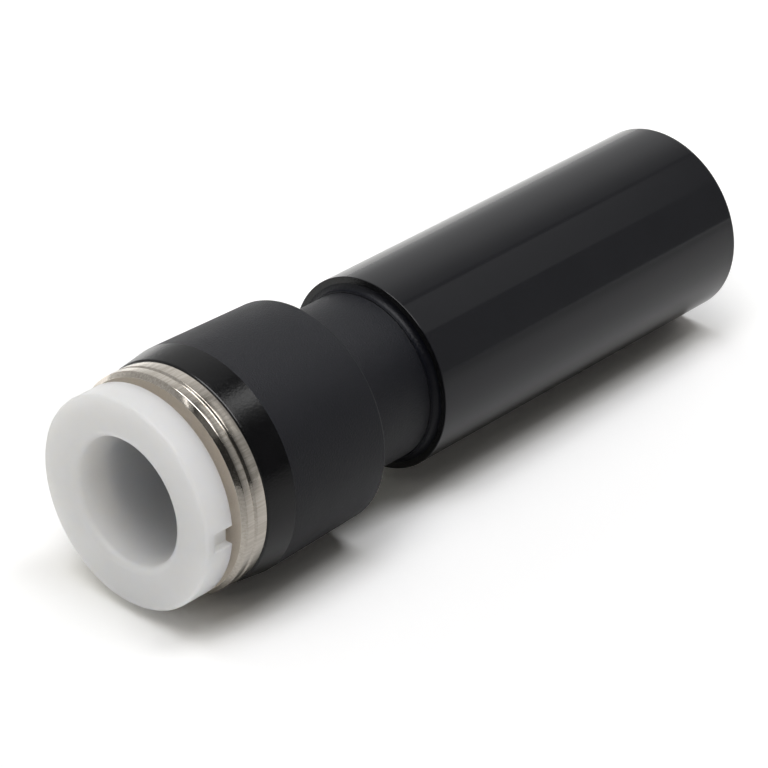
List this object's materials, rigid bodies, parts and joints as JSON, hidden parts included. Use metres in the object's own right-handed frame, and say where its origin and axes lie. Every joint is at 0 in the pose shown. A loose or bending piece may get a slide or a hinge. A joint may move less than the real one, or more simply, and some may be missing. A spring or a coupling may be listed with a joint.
{
  "type": "pneumatic reducing connector",
  "caption": "Straight plug-in reducer for pneumatic tubing: plain stem, necked body, and a push-in socket with a metal guide ring and a release ring.",
  "frame": {"origin": "centre of the end of the stem, on which the part stands", "axes": "+Z along the axis from the stem to the release ring; the moulding notch of the release ring is on the -X side"},
  "size_m": [0.0148, 0.0148, 0.0493],
  "materials": {
    "body": "black reinforced polyester resin: fine matt texture on the body and neck, smooth and glossy on the stem and the band at the mouth",
    "guide_ring": "nickel-plated brass, bright and turned",
    "release_ring": "off-white acetal, satin",
    "lock_claw": "stainless spring sheet",
    "tube_seal": "black nitrile rubber"
  },
  "bodies": {
    "housing": {"body": "body", "guide_ring": "guide_ring", "lock_claw": "lock_claw", "tube_seal": "tube_seal"},
    "release": {"release_ring": "release_ring"}
  },
  "joints": [
    {"name": "ring_push", "type": "slide", "parent": "housing", "child": "release", "axis": [0, 0, -1], "range_m": [0, 0.0007], "stiffness_N_per_m": 5000, "deforming": ["lock_claw"]}
  ]
}
